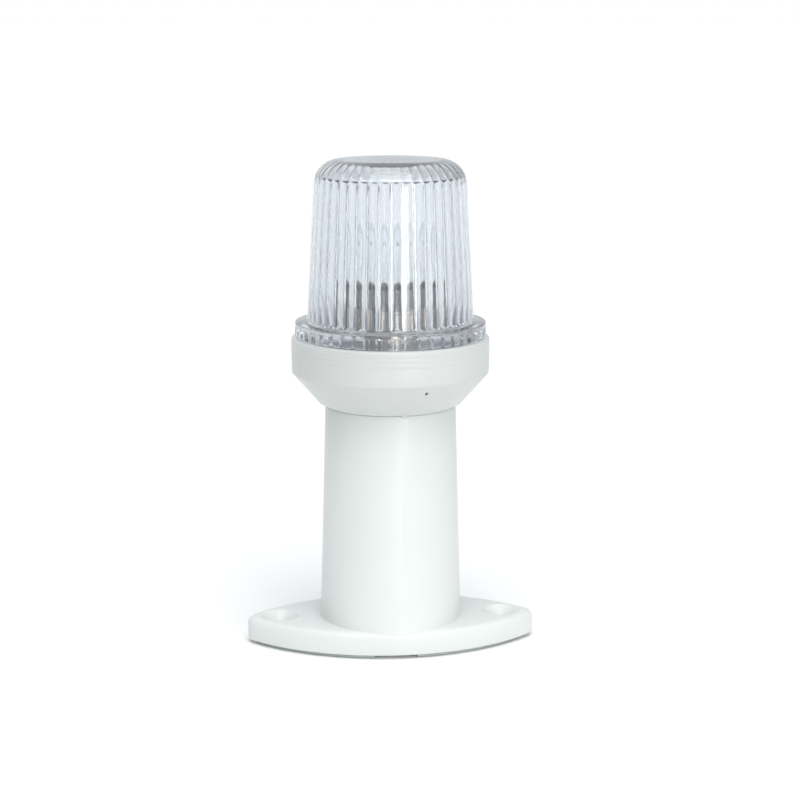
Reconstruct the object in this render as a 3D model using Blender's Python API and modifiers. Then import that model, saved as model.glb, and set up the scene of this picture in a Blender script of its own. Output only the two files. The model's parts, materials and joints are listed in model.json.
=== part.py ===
"""All-round navigation light on a pedestal: a clear lens screws onto a round head, which
stands on a hollow tapered pole with a pointed oval base. Inside are a bayonet bulb with
its sprung holder and the wiring down to a terminal block in the foot. Metres, +Z up,
with the origin under the middle of the base pad."""

import math

import bmesh
import bpy
from mathutils import Matrix, Vector

GAP = 0.0003  # clearance between pieces that touch
CUT = 0.001  # how far a cutter runs past the face that it opens
SCREW_RADIUS = 0.0012
SCREW_PILOT_RADIUS = 0.0015
SCREW_HOLE_RADIUS = 0.0017

# Base pad and base flange
PAD_THICK = 0.0009
PAD_HALF_LENGTH = 0.0428
PAD_HALF_DEPTH = 0.0214
PAD_TIP_RADIUS = 0.0042
PAD_OPENING_RADIUS = 0.0165
PAD_NOTCH_WIDTH = 0.0130
BASE_LOW = PAD_THICK + GAP
BASE_TOP = BASE_LOW + 0.0070
BASE_HALF_LENGTH = 0.0450
BASE_HALF_DEPTH = 0.0227
BASE_TIP_RADIUS = 0.0055
BASE_EDGE_RADIUS = 0.0021
DECK_SCREW_X = 0.0350
DECK_SCREW_RADIUS = 0.0026
DECK_SCREW_RECESS_RADIUS = 0.00585

# Pole
POLE_FOOT_RADIUS = 0.0220
POLE_TOP_RADIUS = 0.0202
POLE_TOP = 0.0754
POLE_WALL = 0.0025
WEB_TOP = BASE_LOW + 0.0025
ENTRY_Y = 0.0095
ENTRY_RADIUS = 0.0050
BOSS_X = 0.0140
BOSS_RADIUS = 0.0046
BOSS_LOW = 0.0600
BOSS_TOP = 0.0720

# Head housing
HEAD_LOW = POLE_TOP + GAP
HEAD_TOP = 0.0967
HEAD_RADIUS = 0.0305
CONE_TOP = 0.0859
CONE_LOW_RADIUS = 0.0212
PLUG_LOW = BOSS_TOP + 0.00035
PLUG_RADIUS = 0.0173
SEAL_GROOVE = (0.0734, 0.0749)
SEAL_GROOVE_RADIUS = 0.0161
POLE_SEAL_RADIUS = 0.01690
POLE_SEAL_SECTION = 0.00062
HEAD_FLOOR = 0.0760
HEAD_BORE = 0.0283
HEAD_HOLE_RADIUS = 0.0050
KEY_AZIMUTH = math.radians(8)
KEY_WIDTH = 0.0022
KEY_DEPTH = 0.0006
DRAIN_AZIMUTH = math.radians(17.6)
DRAIN_HEIGHT = 0.0835
DRAIN_RADIUS = 0.0005

# Lens and its quick thread
LENS_TOP = 0.1516
LENS_SKIRT_LOW = 0.0874
LENS_SKIRT_RADIUS = 0.0266
LENS_SKIRT_BORE = 0.0243
LENS_FLANGE_LOW = HEAD_TOP + GAP
LENS_FLANGE_TOP = 0.1015
LENS_RIM = 0.0012
LENS_FLANGE_RADIUS = 0.02933
LENS_FOOT_RADIUS = 0.02565
LENS_SHOULDER_RADIUS = 0.02346
LENS_ROUND = 0.0080
LENS_WALL = 0.0022
RING_GROOVE = (0.0939, 0.0962)
RING_GROOVE_DEPTH = 0.0009
LENS_SEAL_RADIUS = 0.02695
LENS_SEAL_SECTION = 0.00105
SERRATIONS = 48
SERRATION_DEPTH = 0.0008
THREAD_STARTS = 3
THREAD_LEAD = 0.0180
THREAD_HEIGHT = 0.0015
THREAD_SWEEP = math.radians(36)
LUG_LOW = 0.0880
LUG_RADIUS = 0.0277
RAMP_RADIUS = 0.02695

# Lamp holder
POST_Y = 0.0146
POST_RADIUS = 0.0030
HOLDER_LOW = 0.0883
HOLDER_TOP = 0.0913
HOLDER_RADIUS = 0.0175
SOCKET_LOW = 0.0812
SOCKET_TOP = 0.1055
SOCKET_RADIUS = 0.00835
SOCKET_BORE = 0.00785
SOCKET_FLANGE_RADIUS = 0.0112
RIVET_Y = 0.0098
RIVET_HOLE_RADIUS = 0.0010
TERMINAL_LOW = 0.0793
TAIL_LOW = 0.0805
SPRING_LOW = 0.0851
SPRING_TOP = 0.0914
SPRING_RADIUS = 0.0034
SPRING_WIRE = 0.0003
SPRING_TURNS = 4

# Bulb
CAP_LOW = 0.0955
CAP_TOP = 0.1130
CAP_RADIUS = 0.0076
CAP_WALL = 0.0004
PIN_HEIGHT = 0.1007
PIN_REACH = 0.0089
PIN_RADIUS = 0.0010
BULB_PRESS = 0.0020
BULB_TOP = 0.1312
BULB_RADIUS = 0.0093
BULB_WALL = 0.0006

# Terminal block in the foot
BLOCK_LOW = WEB_TOP + GAP
BLOCK_Y = -0.0060
BLOCK_SIZE = (0.0200, 0.0100, 0.0100)
WAY_X = 0.0050
WAY_Z = BLOCK_LOW + 0.0050
WAY_RADIUS = 0.0029
SCREW_PITCH = 0.0048
LEAD_RADIUS = 0.0009

for old in list(bpy.data.objects):
    bpy.data.objects.remove(old)

parts = bpy.data.collections.new("navigation_light")
cutters = bpy.data.collections.new("cutters")
cutters.hide_render = True
bpy.context.scene.collection.children.link(parts)
bpy.context.scene.collection.children.link(cutters)


def finish(name, colour, roughness, metallic=0.0, transmission=0.0):
    made = bpy.data.materials.new(name)
    made.use_nodes = True
    shader = made.node_tree.nodes["Principled BSDF"]
    shader.inputs["Base Color"].default_value = (*colour, 1.0)
    shader.inputs["Roughness"].default_value = roughness
    shader.inputs["Metallic"].default_value = metallic
    shader.inputs["Transmission Weight"].default_value = transmission
    return made


WHITE = finish("white_plastic", (0.80, 0.84, 0.82), 0.35)
PALE_RUBBER = finish("pale_rubber", (0.62, 0.64, 0.65), 0.8)
BLACK_RUBBER = finish("black_rubber", (0.03, 0.03, 0.03), 0.7)
CLEAR = finish("clear_plastic", (0.95, 0.97, 1.0), 0.05, transmission=1.0)
GLASS = finish("bulb_glass", (1.0, 1.0, 1.0), 0.02, transmission=1.0)
STEEL = finish("stainless_steel", (0.62, 0.62, 0.63), 0.3, 1.0)
NICKEL = finish("nickel_plate", (0.66, 0.62, 0.56), 0.25, 1.0)
BRASS = finish("brass", (0.78, 0.57, 0.26), 0.3, 1.0)
COPPER = finish("copper", (0.80, 0.42, 0.28), 0.3, 1.0)
TUNGSTEN = finish("tungsten", (0.30, 0.29, 0.28), 0.4, 1.0)
PHENOLIC = finish("brown_phenolic", (0.07, 0.03, 0.02), 0.45)
BLACK_GLASS = finish("black_glass", (0.02, 0.02, 0.03), 0.15)
NATURAL_NYLON = finish("natural_nylon", (0.75, 0.74, 0.68), 0.45)
RED_SLEEVE = finish("red_insulation", (0.50, 0.03, 0.02), 0.45)
BLACK_SLEEVE = finish("black_insulation", (0.02, 0.02, 0.02), 0.45)


def place(name, mesh, material, collection=parts):
    """A new object of this mesh. With no material it is a helper, which no render shows."""
    made = bpy.data.objects.new(name, mesh)
    if material is None:
        collection = cutters
        made.hide_render = True
        made.display_type = "WIRE"
    else:
        mesh.materials.append(material)
    collection.objects.link(made)
    return made


def mesh_of(name, shape):
    mesh = bpy.data.meshes.new(name)
    shape.to_mesh(mesh)
    shape.free()
    mesh.shade_smooth()
    mesh.set_sharp_from_angle(angle=math.radians(35))
    return mesh


def turned(name, profile, material=None, steps=32, ring=False):
    """The profile of (radius, height) points turned about Z: it runs down the outer side,
    and back up the inner side. A ring's profile is closed, and any other one ends on Z."""
    shape = bmesh.new()
    rim = [shape.verts.new((radius, 0.0, height)) for radius, height in profile]
    for first, second in zip(rim, rim[1:]):
        shape.edges.new((first, second))
    if ring:
        shape.edges.new((rim[-1], rim[0]))
    mesh = bpy.data.meshes.new(name)
    shape.to_mesh(mesh)
    shape.free()
    made = place(name, mesh, material)
    screw = made.modifiers.new("turn", "SCREW")
    screw.steps = steps
    screw.render_steps = steps
    screw.use_merge_vertices = True
    screw.merge_threshold = 0.00001
    screw.use_smooth_shade = True
    return made


def cylinder(name, radius, low, high, x=0.0, y=0.0, material=None, steps=24):
    shape = bmesh.new()
    centre = Matrix.Translation((x, y, (low + high) / 2)) @ Matrix.Rotation(math.pi / steps, 4, "Z")
    bmesh.ops.create_cone(
        shape, cap_ends=True, segments=steps, radius1=radius, radius2=radius,
        depth=high - low, matrix=centre,
    )
    return place(name, mesh_of(name, shape), material)


def level_cylinder(name, radius, start, end, material=None, steps=24):
    """A cylinder between two points that lie in any direction."""
    shape = bmesh.new()
    run = Vector(end) - Vector(start)
    turn = run.to_track_quat("Z", "Y").to_matrix().to_4x4()
    centre = Matrix.Translation((Vector(start) + Vector(end)) / 2) @ turn
    bmesh.ops.create_cone(
        shape, cap_ends=True, segments=steps, radius1=radius, radius2=radius,
        depth=run.length, matrix=centre,
    )
    return place(name, mesh_of(name, shape), material)


def block(name, low, high, material=None, azimuth=0.0):
    """A box between two corners, then turned about Z."""
    shape = bmesh.new()
    size = [b - a for a, b in zip(low, high)]
    middle = [(a + b) / 2 for a, b in zip(low, high)]
    turn = Matrix.Rotation(azimuth, 4, "Z")
    matrix = turn @ Matrix.Translation(middle) @ Matrix.Diagonal((*size, 1.0))
    bmesh.ops.create_cube(shape, size=1.0, matrix=matrix)
    return place(name, mesh_of(name, shape), material)


def plate(name, outlines, low, high, material=None):
    """A flat plate of these closed outlines: the first is its edge, the others its holes."""
    curve = bpy.data.curves.new(name, "CURVE")
    curve.dimensions = "2D"
    curve.fill_mode = "BOTH"
    curve.extrude = (high - low) / 2
    for outline in outlines:
        spline = curve.splines.new("POLY")
        spline.points.add(len(outline) - 1)
        for point, (x, y) in zip(spline.points, outline):
            point.co = (x, y, 0.0, 1.0)
        spline.use_cyclic_u = True
    guide = bpy.data.objects.new(name + "_outline", curve)
    guide.location.z = (low + high) / 2
    bpy.context.scene.collection.objects.link(guide)
    return meshed(guide, name, material)


def meshed(guide, name, material):
    """The curve object as a mesh with its caps welded. The curve itself is removed."""
    bpy.context.view_layer.update()
    graph = bpy.context.evaluated_depsgraph_get()
    raw = bpy.data.meshes.new_from_object(guide.evaluated_get(graph))
    shape = bmesh.new()
    shape.from_mesh(raw)
    bmesh.ops.remove_doubles(shape, verts=shape.verts, dist=0.000001)
    bmesh.ops.recalc_face_normals(shape, faces=shape.faces)
    shape.transform(guide.matrix_world)
    bpy.data.objects.remove(guide)
    mesh = mesh_of(name, shape)
    mesh.materials.clear()
    return place(name, mesh, material)


def wire(name, points, radius, material):
    """A round wire through the points."""
    curve = bpy.data.curves.new(name, "CURVE")
    curve.dimensions = "3D"
    curve.bevel_depth = radius
    curve.bevel_resolution = 2
    curve.use_fill_caps = True
    spline = curve.splines.new("POLY")
    spline.points.add(len(points) - 1)
    for point, place_at in zip(spline.points, points):
        point.co = (*place_at, 1.0)
    guide = bpy.data.objects.new(name + "_path", curve)
    bpy.context.scene.collection.objects.link(guide)
    return meshed(guide, name, material)


def join(made, *others):
    for other in others:
        boolean = made.modifiers.new("join", "BOOLEAN")
        boolean.operation = "UNION"
        boolean.object = other
    return made


def cut(made, *others):
    for other in others:
        boolean = made.modifiers.new("cut", "BOOLEAN")
        boolean.operation = "DIFFERENCE"
        boolean.object = other
    return made


def arc(centre, radius, first, last, count):
    """Points of an arc about (x, y), between two angles in degrees, ends included."""
    angles = [math.radians(first + (last - first) * i / count) for i in range(count + 1)]
    return [
        (centre[0] + radius * math.cos(a), centre[1] + radius * math.sin(a)) for a in angles
    ]


def pointed_oval(half_length, half_depth, tip):
    """Two side arcs that meet two round tips without a corner."""
    reach = half_length - tip
    side = (reach**2 + half_depth**2 - tip**2) / (2 * (half_depth - tip))
    drop = side - half_depth
    meet = math.degrees(math.atan2(drop, reach))
    outline = arc((reach, 0.0), tip, -meet, meet, 6)
    outline += arc((0.0, -drop), side, meet, 180 - meet, 16)[1:]
    outline += arc((-reach, 0.0), tip, 180 - meet, 180 + meet, 6)[1:]
    outline += arc((0.0, drop), side, 180 + meet, 360 - meet, 16)[1:-1]
    return outline


def round_top_edge(made, height, radius, segments=3):
    """Rounds the mesh's edges that lie all round at this height."""
    shape = bmesh.new()
    shape.from_mesh(made.data)
    level = [
        edge
        for edge in shape.edges
        if all(abs(vert.co.z - height) < 0.00001 for vert in edge.verts)
        and any(abs(face.normal.z) < 0.5 for face in edge.link_faces)
    ]
    bmesh.ops.bevel(
        shape, geom=level, offset=radius, segments=segments, profile=0.5,
        affect="EDGES", clamp_overlap=False,
    )
    shape.to_mesh(made.data)
    shape.free()
    made.data.shade_smooth()
    made.data.set_sharp_from_angle(angle=math.radians(35))


def thread_piece(name, inner, outer, low, start):
    """One start of the quick thread: a square section swept up the helix."""
    shape = bmesh.new()
    corners = [(inner, low), (outer, low), (outer, low + THREAD_HEIGHT), (inner, low + THREAD_HEIGHT)]
    section = shape.faces.new([shape.verts.new((radius, 0.0, height)) for radius, height in corners])
    steps = 8
    rise = THREAD_LEAD * THREAD_SWEEP / math.tau
    bmesh.ops.spin(
        shape, geom=[section, *section.edges, *section.verts], cent=(0, 0, 0), axis=(0, 0, 1),
        dvec=(0, 0, rise / steps), angle=THREAD_SWEEP, steps=steps, use_duplicate=False,
    )
    bmesh.ops.recalc_face_normals(shape, faces=shape.faces)
    shape.transform(Matrix.Rotation(start, 4, "Z"))
    return place(name, mesh_of(name, shape), None)


def front(radius, azimuth):
    """The point at this radius, turned from the front (-Y) towards +X."""
    return (radius * math.sin(azimuth), -radius * math.cos(azimuth))


def pole_radius(height):
    share = (height - BASE_TOP) / (POLE_TOP - BASE_TOP)
    return POLE_FOOT_RADIUS + (POLE_TOP_RADIUS - POLE_FOOT_RADIUS) * share


def base_pad():
    """The soft pad under the base, open at the front for drainage or a side cable."""
    hole = arc((0.0, 0.0), PAD_OPENING_RADIUS, 0, 360, 40)[:-1]
    outlines = [pointed_oval(PAD_HALF_LENGTH, PAD_HALF_DEPTH, PAD_TIP_RADIUS), hole]
    for side in (-1, 1):
        outlines.append(arc((side * DECK_SCREW_X, 0.0), DECK_SCREW_RADIUS, 0, 360, 16)[:-1])
    pad = plate("base_pad", outlines, 0.0, PAD_THICK, PALE_RUBBER)
    half = PAD_NOTCH_WIDTH / 2
    notch = block("pad_notch", (-half, -0.03, -CUT), (half, -0.008, PAD_THICK + CUT))
    cut(pad, notch)


def pedestal():
    """Base flange and hollow pole in one moulding."""
    outline = pointed_oval(BASE_HALF_LENGTH, BASE_HALF_DEPTH, BASE_TIP_RADIUS)
    made = plate("pedestal", [outline], BASE_LOW, BASE_TOP, WHITE)
    round_top_edge(made, BASE_TOP, BASE_EDGE_RADIUS)
    rim = 0.0004
    pole = turned(
        "pole_solid",
        [
            (0, POLE_TOP),
            (POLE_TOP_RADIUS - rim, POLE_TOP),
            (POLE_TOP_RADIUS, POLE_TOP - rim),
            (POLE_FOOT_RADIUS, BASE_TOP),
            (POLE_FOOT_RADIUS, BASE_LOW + CUT),
            (0, BASE_LOW + CUT),
        ],
        steps=48,
    )
    bore = turned(
        "pole_bore",
        [
            (0, POLE_TOP + CUT),
            (POLE_TOP_RADIUS - POLE_WALL, POLE_TOP + CUT),
            (pole_radius(WEB_TOP) - POLE_WALL, WEB_TOP),
            (0, WEB_TOP),
        ],
        steps=36,
    )
    entry = cylinder("cable_entry_cut", ENTRY_RADIUS, BASE_LOW - CUT, WEB_TOP + CUT, 0, ENTRY_Y)
    join(made, pole)
    cut(made, bore, entry)
    for side, word in ((-1, "left"), (1, "right")):
        boss = cylinder(f"pole_boss_{word}", BOSS_RADIUS, BOSS_LOW, BOSS_TOP, side * BOSS_X)
        pilot = cylinder(
            f"pole_pilot_{word}", SCREW_PILOT_RADIUS, BOSS_TOP - 0.010, BOSS_TOP + CUT, side * BOSS_X
        )
        recess_low = BASE_TOP - (DECK_SCREW_RECESS_RADIUS - DECK_SCREW_RADIUS)
        hole = turned(
            f"deck_screw_cut_{word}",
            [
                (0, BASE_TOP + CUT),
                (DECK_SCREW_RECESS_RADIUS + CUT, BASE_TOP + CUT),
                (DECK_SCREW_RADIUS, recess_low),
                (DECK_SCREW_RADIUS, BASE_LOW - CUT),
                (0, BASE_LOW - CUT),
            ],
        )
        hole.location.x = side * DECK_SCREW_X
        join(made, boss)
        cut(made, pilot, hole)
    half = KEY_WIDTH / 2 + GAP
    notch = block(
        "key_notch", (-half, -0.022, POLE_TOP - KEY_DEPTH - GAP), (half, -0.0185, POLE_TOP + CUT),
        azimuth=KEY_AZIMUTH,
    )
    cut(made, notch)
    strap = block(
        "block_seat_cut", (-0.0012, BLOCK_Y - 0.0012, BASE_LOW - CUT),
        (0.0012, BLOCK_Y + 0.0012, WEB_TOP + CUT),
    )
    cut(made, strap)


def grommet(name, low, high, radius, bore, x=0.0, y=0.0):
    """A rubber grommet for a round hole in a wall between two heights."""
    lip = 0.0007
    made = turned(
        name,
        [
            (radius + 0.0010, high + GAP + lip),
            (radius + 0.0010, high + GAP),
            (radius - GAP, high + GAP),
            (radius - GAP, low - GAP),
            (radius + 0.0010, low - GAP),
            (radius + 0.0010, low - GAP - lip),
            (bore, low - GAP - lip),
            (bore, high + GAP + lip),
        ],
        BLACK_RUBBER, steps=16, ring=True,
    )
    made.location = (x, y, 0.0)


def head_housing():
    """The white cup that holds the lamp and takes the lens, with its plug into the pole."""
    cone_side = HEAD_RADIUS - 0.0001
    groove_low, groove_high = SEAL_GROOVE
    inner_offset = 0.0031
    floor_radius = POLE_TOP_RADIUS - inner_offset + (HEAD_FLOOR - HEAD_LOW)
    bore_low = HEAD_LOW + HEAD_BORE - (POLE_TOP_RADIUS - inner_offset)
    made = turned(
        "head_housing",
        [
            (HEAD_RADIUS - 0.0008, HEAD_TOP),
            (HEAD_RADIUS - 0.0002, HEAD_TOP - 0.0003),
            (HEAD_RADIUS, HEAD_TOP - 0.0009),
            (cone_side, CONE_TOP + 0.0004),
            (cone_side - 0.0003, CONE_TOP - 0.0001),
            (CONE_LOW_RADIUS, HEAD_LOW + 0.0002),
            (CONE_LOW_RADIUS - 0.0003, HEAD_LOW),
            (PLUG_RADIUS, HEAD_LOW),
            (PLUG_RADIUS, groove_high),
            (SEAL_GROOVE_RADIUS, groove_high),
            (SEAL_GROOVE_RADIUS, groove_low),
            (PLUG_RADIUS, groove_low),
            (PLUG_RADIUS, PLUG_LOW),
            (HEAD_HOLE_RADIUS, PLUG_LOW),
            (HEAD_HOLE_RADIUS, HEAD_FLOOR),
            (floor_radius, HEAD_FLOOR),
            (HEAD_BORE, bore_low),
            (HEAD_BORE, HEAD_TOP - 0.0005),
            (HEAD_BORE + 0.0005, HEAD_TOP),
        ],
        WHITE, steps=40, ring=True,
    )
    half = KEY_WIDTH / 2
    key = block(
        "head_key", (-half, -POLE_TOP_RADIUS - 0.0002, POLE_TOP - KEY_DEPTH),
        (half, -0.0188, HEAD_LOW + 0.0008), azimuth=KEY_AZIMUTH,
    )
    join(made, key)
    for start in range(THREAD_STARTS):
        ramp = thread_piece(
            f"ramp_{start + 1}", RAMP_RADIUS, HEAD_BORE + 0.0008, LUG_LOW + THREAD_HEIGHT + GAP,
            math.tau * start / THREAD_STARTS,
        )
        join(made, ramp)
    for side, word in ((-1, "front"), (1, "rear")):
        post = cylinder(
            f"holder_post_{word}", POST_RADIUS, HEAD_FLOOR - CUT, HOLDER_LOW - GAP, 0, side * POST_Y
        )
        pilot = cylinder(
            f"post_pilot_{word}", SCREW_PILOT_RADIUS, HEAD_FLOOR + 0.001, HOLDER_LOW + CUT,
            0, side * POST_Y,
        )
        join(made, post)
        cut(made, pilot)
    for side, word in ((-1, "left"), (1, "right")):
        hole = cylinder(
            f"head_screw_cut_{word}", SCREW_HOLE_RADIUS, PLUG_LOW - CUT, HEAD_FLOOR + CUT,
            side * BOSS_X,
        )
        cut(made, hole)
    inner = (*front(POLE_FOOT_RADIUS, DRAIN_AZIMUTH), DRAIN_HEIGHT)
    outer = (*front(HEAD_RADIUS, DRAIN_AZIMUTH), DRAIN_HEIGHT)
    cut(made, level_cylinder("drain_cut", DRAIN_RADIUS, inner, outer, steps=10))


def seal_ring(name, radius, section, height, material, steps):
    profile = arc((radius, height), section, 90, -270, 6)[:-1]
    turned(name, profile, material, steps=steps, ring=True)


def pan_head_screw(name, x, y, seat, head_radius, head_height, length):
    """A screw whose head stands on the seat, with a cross recess cut as two slots."""
    low = seat + GAP
    radius = SCREW_RADIUS
    made = turned(
        name,
        [
            (0, low + head_height),
            (head_radius * 0.75, low + head_height),
            (head_radius, low + head_height * 0.5),
            (head_radius, low),
            (radius, low),
            (radius, low - length + radius),
            (radius * 0.3, low - length),
            (0, low - length),
        ],
        STEEL, steps=16,
    )
    slot = head_radius * 0.12
    reach = head_radius * 0.55
    high = low + head_height
    for index, (a, b) in enumerate(((slot, reach), (reach, slot))):
        recess = block(
            f"{name}_slot_{index + 1}", (-a, -b, high - head_height * 0.5), (a, b, high + CUT)
        )
        recess.location = (x, y, 0.0)
        cut(made, recess)
    made.location = (x, y, 0.0)


def lens():
    """Clear dome with its grip flange, skirt, seal groove and three thread lugs."""
    top_radius = LENS_SHOULDER_RADIUS - LENS_ROUND
    groove_low, groove_high = RING_GROOVE
    groove = LENS_SKIRT_RADIUS - RING_GROOVE_DEPTH
    inner_top = LENS_TOP - LENS_WALL
    inner_round = LENS_ROUND - LENS_WALL
    outer_round = arc((top_radius, LENS_TOP - 0.0006 - LENS_ROUND), LENS_ROUND, 84, 3.4, 5)
    inner_arc = arc((top_radius, LENS_TOP - 0.0006 - LENS_ROUND), inner_round, 3.4, 84, 4)
    made = turned(
        "lens",
        [(0, LENS_TOP)]
        + outer_round
        + [
            (LENS_FOOT_RADIUS, LENS_FLANGE_TOP),
            (LENS_SKIRT_RADIUS, LENS_FLANGE_TOP - 0.002),
            (LENS_SKIRT_RADIUS, groove_high),
            (groove, groove_high),
            (groove, groove_low),
            (LENS_SKIRT_RADIUS, groove_low),
            (LENS_SKIRT_RADIUS, LENS_SKIRT_LOW + 0.0005),
            (LENS_SKIRT_RADIUS - 0.0005, LENS_SKIRT_LOW),
            (LENS_SKIRT_BORE, LENS_SKIRT_LOW),
            (LENS_SKIRT_BORE, groove_low),
            (LENS_FOOT_RADIUS - LENS_WALL, LENS_FLANGE_TOP),
        ]
        + inner_arc
        + [(0, inner_top)],
        CLEAR, steps=40,
    )
    join(made, grip_flange())
    for start in range(THREAD_STARTS):
        lug = thread_piece(
            f"lug_{start + 1}", LENS_SKIRT_RADIUS - 0.0010, LUG_RADIUS, LUG_LOW,
            math.tau * start / THREAD_STARTS,
        )
        join(made, lug)


def grip_flange():
    """The ring by which the lens is turned: a smooth rim over a serrated edge."""
    outer = []
    toothed = []
    inner = []
    for tooth in range(SERRATIONS):
        for share, depth in ((-0.30, 0.0), (0.22, 0.0), (0.30, SERRATION_DEPTH), (0.62, SERRATION_DEPTH)):
            angle = math.tau * (tooth + share) / SERRATIONS
            for ring, radius in (
                (outer, LENS_FLANGE_RADIUS),
                (toothed, LENS_FLANGE_RADIUS - depth),
                (inner, LENS_FOOT_RADIUS - 0.0009),
            ):
                ring.append((radius * math.cos(angle), radius * math.sin(angle)))
    shape = bmesh.new()
    rows = [
        [shape.verts.new((x, y, height)) for x, y in ring]
        for ring, height in (
            (inner, LENS_FLANGE_LOW),
            (toothed, LENS_FLANGE_LOW),
            (toothed, LENS_FLANGE_TOP - LENS_RIM - 0.0004),
            (outer, LENS_FLANGE_TOP - LENS_RIM),
            (outer, LENS_FLANGE_TOP),
            (inner, LENS_FLANGE_TOP),
        )
    ]
    for low, high in zip(rows, [*rows[1:], rows[0]]):
        for index in range(len(low)):
            shape.faces.new((low[index - 1], low[index], high[index], high[index - 1]))
    bmesh.ops.recalc_face_normals(shape, faces=shape.faces)
    return place("grip_flange", mesh_of("grip_flange", shape), None)


def lamp_holder():
    """Nylon base, plated bayonet shell with its rivets, and the live contact parts."""
    base = turned(
        "holder_base",
        [
            (HOLDER_RADIUS - 0.0006, HOLDER_TOP),
            (HOLDER_RADIUS, HOLDER_TOP - 0.0006),
            (HOLDER_RADIUS, HOLDER_LOW),
            (SOCKET_RADIUS + 0.0004, HOLDER_LOW),
            (SOCKET_RADIUS + 0.0004, HOLDER_TOP),
        ],
        NATURAL_NYLON, steps=32, ring=True,
    )
    flange_low = HOLDER_TOP + GAP
    flange_high = flange_low + 0.0006
    lip = 0.0006
    shell = turned(
        "socket_shell",
        [
            (SOCKET_RADIUS, SOCKET_TOP),
            (SOCKET_RADIUS, flange_high),
            (SOCKET_FLANGE_RADIUS, flange_high),
            (SOCKET_FLANGE_RADIUS, flange_low),
            (SOCKET_RADIUS, flange_low),
            (SOCKET_RADIUS, SOCKET_LOW),
            (SOCKET_BORE - 0.0014, SOCKET_LOW),
            (SOCKET_BORE - 0.0014, SOCKET_LOW + lip),
            (SOCKET_BORE, SOCKET_LOW + lip),
            (SOCKET_BORE, SOCKET_TOP),
        ],
        NICKEL, steps=32, ring=True,
    )
    for side, word in ((-1, "front"), (1, "rear")):
        screw_hole = cylinder(
            f"post_screw_cut_{word}", SCREW_HOLE_RADIUS, HOLDER_LOW - CUT, HOLDER_TOP + CUT,
            0, side * POST_Y,
        )
        rivet_hole = cylinder(
            f"rivet_cut_{word}", RIVET_HOLE_RADIUS, HOLDER_LOW - CUT, HOLDER_TOP + 2 * CUT,
            0, side * RIVET_Y, steps=14,
        )
        cut(base, screw_hole, rivet_hole)
        cut(shell, rivet_hole)
        rivet(f"socket_rivet_{word}", side * RIVET_Y, flange_high)
        pan_head_screw(f"holder_screw_{word}", 0, side * POST_Y, HOLDER_TOP, 0.0024, 0.0018, 0.0110)
    cut(shell, *bayonet_slots())
    live_parts(SOCKET_LOW + lip + GAP)


def live_parts(insulator_low):
    """The insulating washer in the shell's foot, and the terminals of both contacts."""
    insulator_high = insulator_low + 0.0022
    insulator = turned(
        "socket_insulator",
        [
            (SOCKET_BORE - GAP, insulator_high),
            (SOCKET_BORE - GAP, insulator_low),
            (0.0016, insulator_low),
            (0.0016, insulator_high),
        ],
        PHENOLIC, steps=24, ring=True,
    )
    leg_x = 0.0040
    slot = block(
        "terminal_slot", (leg_x - 0.0006, -0.0018, insulator_low - CUT),
        (leg_x + 0.0006, 0.0018, insulator_high + CUT),
    )
    cut(insulator, slot)
    terminal_low = insulator_high + 0.0001
    terminal = turned(
        "centre_terminal",
        [
            (0.0052, terminal_low + 0.0004),
            (0.0052, terminal_low),
            (0.0016, terminal_low),
            (0.0016, terminal_low + 0.0004),
        ],
        BRASS, steps=24, ring=True,
    )
    leg = block(
        "terminal_leg", (leg_x - 0.0003, -0.0014, TERMINAL_LOW),
        (leg_x + 0.0003, 0.0014, terminal_low + 0.0003),
    )
    join(terminal, leg)
    strip_high = HOLDER_LOW - GAP
    strip = block(
        "shell_terminal", (-0.0020, -0.0113, strip_high - 0.0006), (0.0020, -0.0086, strip_high),
        BRASS,
    )
    tail = block(
        "shell_terminal_tail", (-0.0014, -0.0093, TAIL_LOW), (0.0014, -0.0087, strip_high - 0.0001)
    )
    eye = cylinder(
        "strip_eye", RIVET_HOLE_RADIUS, HOLDER_LOW - 0.003, HOLDER_LOW + CUT, 0, -RIVET_Y, steps=14
    )
    join(strip, tail)
    cut(strip, eye)


def rivet(name, y, seat):
    """A small brass rivet through the shell flange and the holder base."""
    low = seat + 0.0002
    front_one = y < 0
    end = HOLDER_LOW - (0.0014 if front_one else 0.0006)
    made = turned(
        name,
        [
            (0, low + 0.0006),
            (0.0008, low + 0.0005),
            (0.0014, low),
            (0.0008, low),
            (0.0008, end),
            (0, end),
        ],
        BRASS, steps=12,
    )
    made.location.y = y


def bayonet_slots():
    """Cutters for the two J-shaped slots: down, across, then up to where the pin rests."""
    clear = PIN_RADIUS + 0.0004
    low = PIN_HEIGHT - BULB_PRESS - clear
    hook = PIN_HEIGHT + clear
    entry = 0.0042
    outline = [
        (-clear, low), (entry + clear, low), (entry + clear, SOCKET_TOP + CUT),
        (entry - clear, SOCKET_TOP + CUT), (entry - clear, low + 2 * clear),
        (clear, low + 2 * clear), (clear, hook), (-clear, hook),
    ]
    cuts = []
    for turn, word in ((0, "right"), (math.pi, "left")):
        slot = plate(f"bayonet_slot_{word}", [outline], 0.0045, 0.0100)
        slot.rotation_euler = (math.pi / 2, 0, math.pi / 2 + turn)
        cuts.append(slot)
    return cuts


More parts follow.
